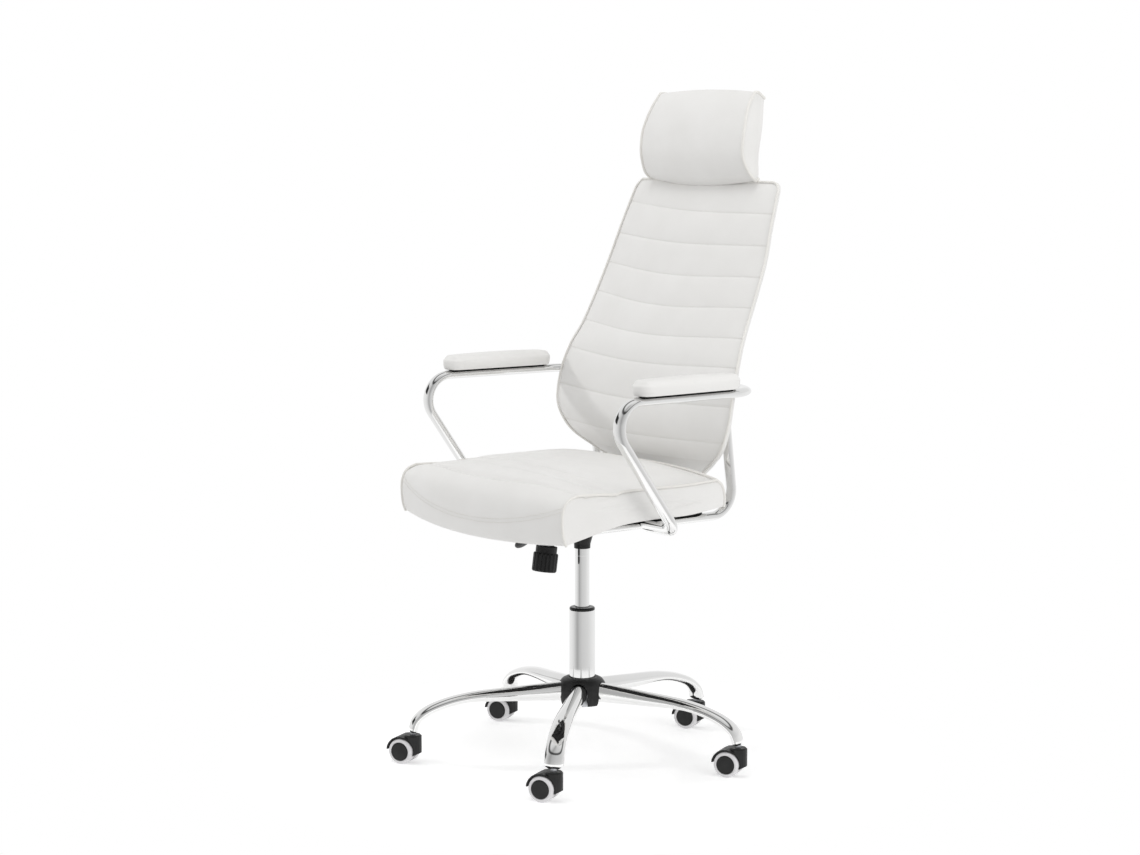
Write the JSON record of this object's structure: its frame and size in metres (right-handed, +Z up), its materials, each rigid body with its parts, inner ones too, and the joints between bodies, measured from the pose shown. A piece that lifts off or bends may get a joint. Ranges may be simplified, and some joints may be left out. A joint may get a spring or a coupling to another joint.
{
  "type": "swivel office chair",
  "caption": "Padded swivel office chair with headrest, bent-tube arms, gas lift, tilt mechanism and a five-star base on twin-wheel casters.",
  "frame": {"origin": "on the floor, under the middle of the chair's bounding box", "axes": "+Z up, -Y towards the front of the seat, +X towards the sitter's left"},
  "size_m": [0.7146, 0.6874, 1.306],
  "materials": {
    "leatherette": "satin",
    "chrome": "polished",
    "black_plastic": "satin",
    "steel": "satin",
    "black_steel": "satin",
    "tyre": "matte",
    "plywood": "matte"
  },
  "bodies": {
    "base": {"star_leg_1": "chrome", "star_leg_2": "chrome", "star_leg_3": "chrome", "star_leg_4": "chrome", "star_leg_5": "chrome", "hub_sleeve": "steel", "hub_cover": "black_plastic", "column_tube": "chrome", "guide_bush": "black_plastic", "thrust_bearing": "steel", "caster_stem_1": "steel", "caster_stem_2": "steel", "caster_stem_3": "steel", "caster_stem_4": "steel", "caster_stem_5": "steel"},
    "caster_1": {"caster_housing_1": "black_plastic"},
    "wheels_1": {"wheel_axle_1": "steel", "wheel_left_1": "tyre", "wheel_right_1": "tyre"},
    "caster_2": {"caster_housing_2": "black_plastic"},
    "wheels_2": {"wheel_axle_2": "steel", "wheel_left_2": "tyre", "wheel_right_2": "tyre"},
    "caster_3": {"caster_housing_3": "black_plastic"},
    "wheels_3": {"wheel_axle_3": "steel", "wheel_left_3": "tyre", "wheel_right_3": "tyre"},
    "caster_4": {"caster_housing_4": "black_plastic"},
    "wheels_4": {"wheel_axle_4": "steel", "wheel_left_4": "tyre", "wheel_right_4": "tyre"},
    "caster_5": {"caster_housing_5": "black_plastic"},
    "wheels_5": {"wheel_axle_5": "steel", "wheel_left_5": "tyre", "wheel_right_5": "tyre"},
    "piston": {"piston_rod": "steel"},
    "lift": {"gas_cylinder": "chrome", "mechanism_housing": "black_steel", "tilt_pin": "steel"},
    "seat": {"seat_plate": "black_steel", "tension_bolt": "steel", "tension_spring": "steel", "seat_board": "plywood", "seat_cushion": "leatherette", "arm_tube_left": "chrome", "arm_tube_right": "chrome", "back_tube_left": "chrome", "back_tube_right": "chrome", "arm_pad_plate_left": "black_plastic", "arm_pad_plate_right": "black_plastic", "arm_pad_left": "leatherette", "arm_pad_right": "leatherette", "backrest_cushion": "leatherette", "backrest_shell": "leatherette", "headrest_cushion": "leatherette"},
    "lever_pivot": {"lever_bush": "black_plastic"},
    "lever": {"height_lever": "steel", "lever_grip": "black_plastic"},
    "button": {"release_button": "steel"},
    "knob": {"tension_knob": "black_plastic"}
  },
  "joints": [
    {"name": "caster_swivel_1", "type": "hinge", "parent": "base", "child": "caster_1", "pos_m": [0.32212, 0.13864, 0.05], "axis": [0, 0, 1], "continuous": true},
    {"name": "wheel_roll_1", "type": "hinge", "parent": "caster_1", "child": "wheels_1", "pos_m": [0.30638, 0.12992, 0.025], "axis": [-0.4848, 0.8746, 0], "continuous": true},
    {"name": "caster_swivel_2", "type": "hinge", "parent": "base", "child": "caster_2", "pos_m": [-0.02427, 0.32228, 0.05], "axis": [0, 0, 1], "continuous": true},
    {"name": "wheel_roll_2", "type": "hinge", "parent": "caster_2", "child": "wheels_2", "pos_m": [-0.04001, 0.31355, 0.025], "axis": [-0.4848, 0.8746, 0], "continuous": true},
    {"name": "caster_swivel_3", "type": "hinge", "parent": "base", "child": "caster_3", "pos_m": [-0.30595, 0.04959, 0.05], "axis": [0, 0, 1], "continuous": true},
    {"name": "wheel_roll_3", "type": "hinge", "parent": "caster_3", "child": "wheels_3", "pos_m": [-0.3217, 0.04086, 0.025], "axis": [-0.4848, 0.8746, 0], "continuous": true},
    {"name": "caster_swivel_4", "type": "hinge", "parent": "base", "child": "caster_4", "pos_m": [-0.13366, -0.30257, 0.05], "axis": [0, 0, 1], "continuous": true},
    {"name": "wheel_roll_4", "type": "hinge", "parent": "caster_4", "child": "wheels_4", "pos_m": [-0.1494, -0.3113, 0.025], "axis": [-0.4848, 0.8746, 0], "continuous": true},
    {"name": "caster_swivel_5", "type": "hinge", "parent": "base", "child": "caster_5", "pos_m": [0.25451, -0.24754, 0.05], "axis": [0, 0, 1], "continuous": true},
    {"name": "wheel_roll_5", "type": "hinge", "parent": "caster_5", "child": "wheels_5", "pos_m": [0.23877, -0.25626, 0.025], "axis": [-0.4848, 0.8746, 0], "continuous": true},
    {"name": "column_swivel", "type": "hinge", "parent": "base", "child": "piston", "pos_m": [0.02255, -0.00792, 0.104], "axis": [0, 0, 1], "continuous": true},
    {"name": "seat_lift", "type": "slide", "parent": "piston", "child": "lift", "axis": [0, 0, 1], "range_m": [-0.1, 0]},
    {"name": "tilt", "type": "hinge", "parent": "lift", "child": "seat", "pos_m": [0.02255, -0.03792, 0.457], "axis": [-1, 0, 0], "range_deg": [0, 10], "stiffness_Nm_per_rad": 180, "springref_deg": -11.46, "deforming": ["tension_spring"]},
    {"name": "lever_lift", "type": "hinge", "parent": "lift", "child": "lever_pivot", "pos_m": [-0.00945, -0.00792, 0.4725], "axis": [0, 1, 0], "range_deg": [0, 6], "stiffness_Nm_per_rad": 5, "springref_deg": -5.73},
    {"name": "lever_pull", "type": "slide", "parent": "lever_pivot", "child": "lever", "axis": [-1, 0, 0], "range_m": [0, 0.012]},
    {"name": "button_press", "type": "slide", "parent": "lift", "child": "button", "axis": [0, 0, -1], "range_m": [0, 0.0034]},
    {"name": "knob_turn", "type": "hinge", "parent": "seat", "child": "knob", "pos_m": [0.02255, -0.08392, 0.495], "axis": [0, 0.1392, 0.9903], "range_deg": [0, 1080]}
  ],
  "couplings": [
    {"joint": "button_press", "follows": "lever_lift", "m_per_rad": 0.032}
  ]
}
